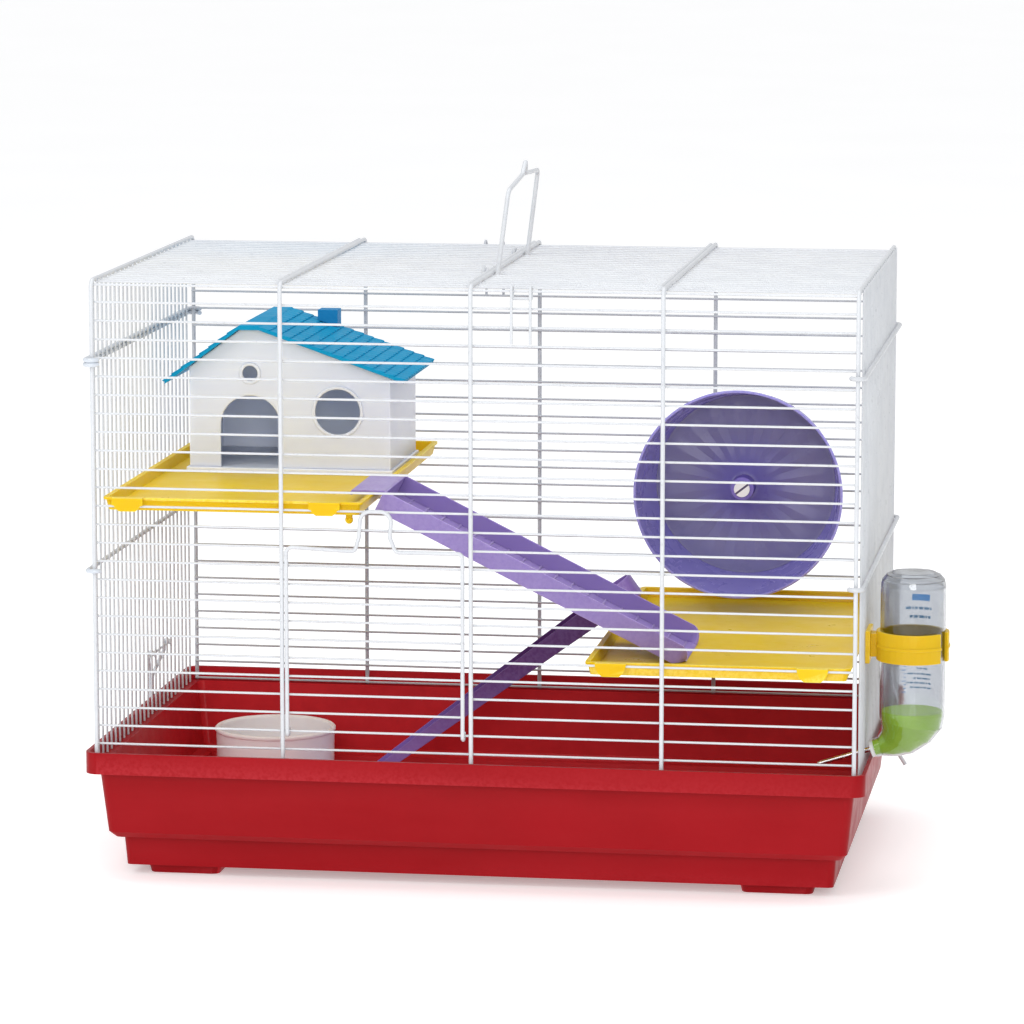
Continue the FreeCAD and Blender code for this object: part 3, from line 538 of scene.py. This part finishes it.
disc_front = []
disc_back = []
for step in range(25):
    radius = 8.2 + (BACK_R - 1.4 - 8.2) * step / 24
    rise = 10.5 * math.exp(-((radius - 8.2) / 9.5) ** 1.3)
    disc_front.append((radius, BACK_Y - 2.6 - rise))
    disc_back.append((radius, BACK_Y - 1.2 - rise))
disc = bmesh.new()
turned_y(disc, disc_front + disc_back[::-1], WHEEL_X, WHEEL_Z, 240, pleat)
piece("wheel_pleated_disc", disc, "disc", "running_wheel", ["wheel_disc"], 0.0, 20.0)


# ---- the ramps: channels with cleats across the floor
def corner_arcs(length, width, radius, inset, steps=10):
    """The plan of one side of a channel's wall from the square end round to the square end again."""
    r = radius - inset
    points = [(inset, inset)]
    for centre_y, first in ((radius, -90), (width - radius, 0)):
        for k in range(steps + 1):
            a = math.radians(first + 90 * k / steps)
            points.append((length - radius + r * math.cos(a), centre_y + r * math.sin(a)))
    points.append((inset, width - inset))
    return points


def channel(build, length, width, height, radius, sole, place, lowest, end_height=1.0):
    """The floor and walls of a ramp; place() turns its own (along, across, up) into the tray's axes.

    'end_height' is the part of the wall's height that is left at the far end, where the wall rounds down.
    """
    thick = 1.6
    outer = corner_arcs(length, width, radius, 0.0)
    inner = corner_arcs(length, width, radius, thick)
    rings = []
    for k, (out_point, in_point) in enumerate(zip(outer, inner)):
        end = k in (0, len(outer) - 1)
        round_down = max(0.0, (out_point[0] - length + radius) / radius)
        top = height * (end_height + (1 - end_height) * math.sqrt(max(0.0, 1 - round_down ** 2)))
        if end:
            top = sole
        made = []
        for (along, across), up, floor_lift in (
            (out_point, 0.0, 0.0), (out_point, top, 0.0), (in_point, top, 0.0), (in_point, thick, 1.1),
        ):
            x, y, z = place(along, across, up)
            made.append(build.verts.new(at(x, y, max(z, lowest + floor_lift))))
        rings.append(made)
    count = len(rings)
    for k in range(count):
        this, after = rings[k], rings[(k + 1) % count]
        for i in range(3):
            build.faces.new((this[i], this[i + 1], after[i + 1], after[i]))
    for level in (0, 3):
        build.faces.new([rings[k][level] for k in (0, 1, count - 2, count - 1)])
        build.faces.new([ring[level] for ring in rings[1:-1]])
    for k in range(1, int((length - radius) / CLEAT_PITCH) + 1):
        block = []
        for up, grow in ((thick - 0.1, 0.0), (thick + 0.7, 0.35)):
            for along, across in (
                (CLEAT_PITCH * k + grow, thick), (CLEAT_PITCH * k + 1.6 - grow, thick),
                (CLEAT_PITCH * k + 1.6 - grow, width - thick), (CLEAT_PITCH * k + grow, width - thick),
            ):
                block.append(build.verts.new(at(*place(along, across, up))))
        build.faces.new(block[4:])
        build.faces.new(block[3::-1])
        for i in range(4):
            j = (i + 1) % 4
            build.faces.new((block[i], block[j], block[4 + j], block[4 + i]))


CLEAT_PITCH = 12.0
UPPER_SLOPE = math.radians(26.3)
LOWER_SLOPE = math.radians(35.8)
LOWER_FOOT_X = -122.3
LOWER_FOOT_Z = 8.4


def on_upper(along, across, up):
    c, s = math.cos(UPPER_SLOPE), math.sin(UPPER_SLOPE)
    return -69.5 + along * c + up * s, -110.5 + across, 235.3 - along * s + up * c


def on_lower(along, across, up):
    c, s = math.cos(LOWER_SLOPE), math.sin(LOWER_SLOPE)
    return LOWER_FOOT_X + along * c - up * s, 29.5 + across, LOWER_FOOT_Z + along * s + up * c


ramp = bmesh.new()
channel(
    ramp, length=224.0, width=75.0, height=13.9, radius=8.0, sole=13.9, place=on_upper, lowest=139.8,
    end_height=0.3,
)
lip = [
    (-63.6, 245.9), (-63.4, 247.7), (-84.6, 247.7), (-85.6, 247.3), (-86.2, 246.3), (-86.2, 244.4),
    (-84.8, 244.4), (-84.6, 245.9),
]
prism(ramp, lip, -107.5, -38.5)
piece("upper_ramp", ramp, "violet", "upper_ramp", ["upper_ladder"], 0.4)
ramp = bmesh.new()
channel(
    ramp, length=254.0, width=52.0, height=15.0, radius=22.0, sole=5.0, place=on_lower, lowest=LOWER_FOOT_Z
)
for x in (69.4, 80.0):
    under = LOWER_FOOT_Z + (x - LOWER_FOOT_X) * math.tan(LOWER_SLOPE)
    prism(ramp, [(x, 143.0), (x + 1.8, 143.0), (x + 1.8, under + 0.9), (x, under + 0.9)], 41.5, 69.5)
piece("lower_ramp", ramp, "plum", "lower_ramp", ["lower_ladder"], 0.4)

# ---- the bottle's printed scale, on the far side of the bottle
BOTTLE_X = 278.6
BOTTLE_Y = -96.0
BOTTLE_R = 21.0


def printed_patch(build, from_degrees, to_degrees, z1, z2):
    """A patch of ink that lies on the outside of the bottle."""
    radius = BOTTLE_R + 0.06
    steps = max(2, int(abs(to_degrees - from_degrees) / 3))
    last = None
    for k in range(steps + 1):
        a = math.radians(from_degrees + (to_degrees - from_degrees) * k / steps)
        x = BOTTLE_X + radius * math.cos(a)
        y = BOTTLE_Y + radius * math.sin(a)
        pair = (build.verts.new(at(x, y, z1)), build.verts.new(at(x, y, z2)))
        if last:
            build.faces.new((last[0], pair[0], pair[1], last[1]))
        last = pair


blue = bmesh.new()
printed_patch(blue, 62, 96, 179.0, 183.2)
for k in range(9):
    long_mark = k % 3 == 0
    z = 118.5 + 2.4 * k
    printed_patch(blue, 106, 114 if long_mark else 110, z, z + 0.5)
piece("bottle_print_blue", blue, "ink_blue", "bottle")

slate = bmesh.new()
for row, (z, first, last, height) in enumerate((
    (173.2, 58, 108, 1.7), (167.6, 60, 100, 1.7), (134.0, 66, 88, 0.9), (130.4, 58, 104, 1.0),
    (127.4, 60, 92, 1.0), (124.4, 58, 106, 1.0), (121.4, 58, 98, 1.0),
)):
    angle = float(first)
    k = 0
    while angle < last:
        wide = 3.0 + 2.6 * ((k * 7 + row * 5) % 4)
        printed_patch(slate, angle, min(angle + wide, last), z, z + height)
        angle += wide + 1.8
        k += 1
piece("bottle_print_slate", slate, "ink_slate", "bottle")


# ---- weld beads where the wires cross
def bead(build, centre, normal, spread, height):
    """A low round blob of coating and weld metal, wider than it is high."""
    normal = normal.normalized()
    side = normal.orthogonal().normalized()
    other = normal.cross(side)
    rings = []
    for lift, wide in ((-0.6, 0.75), (0.0, 1.0), (0.6, 0.75)):
        ring = []
        for k in range(8):
            a = 2 * math.pi * k / 8
            offset = side * (math.cos(a) * spread * wide) + other * (math.sin(a) * spread * wide)
            ring.append(build.verts.new(centre + (offset + normal * (lift * height)) * MM))
        rings.append(ring)
    for low, high in zip(rings, rings[1:]):
        for k in range(8):
            j = (k + 1) % 8
            build.faces.new((low[k], low[j], high[j], high[k]))
    build.faces.new(rings[0][::-1])
    build.faces.new(rings[-1])


BAYS = (-246.0, -123.0, 0.0, 123.0, 246.0)
beads_front = bmesh.new()
beads_back = bmesh.new()
for n in range(1, 27):
    z = 384.0 - 12.0 * n
    for x in BAYS:
        bead(beads_front, at(x, -150.85, z), Vector((0, 1, 0)), 1.35, 0.9)
        bead(beads_back, at(x, 150.85, z), Vector((0, 1, 0)), 1.35, 0.9)
piece("weld_beads_front", beads_front, "wire", "wire_cage")
piece("weld_beads_back", beads_back, "shade_wire", "wire_cage")
beads_roof = bmesh.new()
for k in range(1, 25):
    for x in BAYS:
        bead(beads_roof, at(x, -150.0 + 12.0 * k, 384.85), Vector((0, 0, 1)), 1.35, 0.9)
piece("weld_beads_roof", beads_roof, "wire", "wire_cage")
beads_door = bmesh.new()
for n in range(15, 24):
    for x in (-119.8, -5.3):
        bead(beads_door, at(x, -151.35, 384.0 - 12.0 * n), Vector((0, 1, 0)), 1.3, 0.9)
piece("weld_beads_door", beads_door, "wire", "front_door")

# =====================================================================================
# floor, light and camera
# =====================================================================================
floor_mesh = bpy.data.meshes.new("floor")
build = bmesh.new()
corners = [build.verts.new((x, y, 0.0)) for x, y in ((-9, -6), (9, -6), (9, 14), (-9, 14))]
build.faces.new(corners)
build.to_mesh(floor_mesh)
build.free()
floor = bpy.data.objects.new("floor", floor_mesh)
scene.collection.objects.link(floor)
pale = Shader("floor_pale")
pale.colour(pale.mix(pale.span(pale.noise(3.0, 2.0), 0.3, 0.7), (0.92, 0.92, 0.92), (0.94, 0.94, 0.94)))
pale.set(Roughness=0.8, Specular_IOR_Level=0.2, Emission_Color=(1, 1, 1, 1), Emission_Strength=0.32)
floor_mesh.materials.append(pale.material)

world = bpy.data.worlds.new("studio")
scene.world = world
world.use_nodes = True
world.node_tree.nodes["Background"].inputs[0].default_value = (0.985, 0.99, 1.0, 1)
world.node_tree.nodes["Background"].inputs[1].default_value = 0.72


def area_light(name, place, target, size, power, colour=(1, 1, 1)):
    data = bpy.data.lights.new(name, "AREA")
    data.shape = "RECTANGLE"
    data.size, data.size_y = size
    data.energy = power
    data.color = colour
    lamp = bpy.data.objects.new(name, data)
    lamp.location = place
    lamp.rotation_euler = (Vector(target) - Vector(place)).to_track_quat("-Z", "Y").to_euler()
    scene.collection.objects.link(lamp)


area_light("front", (0.35, -2.9, 1.05), (0, 0, 0.2), (1.2, 0.9), 26)
area_light("key", (-1.2, -1.9, 1.9), (0, 0, 0.2), (1.4, 1.1), 14)
area_light("top", (0.0, 0.1, 2.2), (0, 0, 0.2), (2.0, 1.4), 16)

CAMERA = (0.46437, -3.15697, 0.71068)
TURN = 0.15083
TILT = 0.15079
camera_data = bpy.data.cameras.new("camera")
camera_data.lens = 169.93
camera_data.sensor_width = 36.0
camera_data.clip_end = 50.0
camera = bpy.data.objects.new("camera", camera_data)
camera.location = CAMERA
camera.rotation_euler = (math.pi / 2 - TILT, 0, TURN)
scene.collection.objects.link(camera)
scene.camera = camera
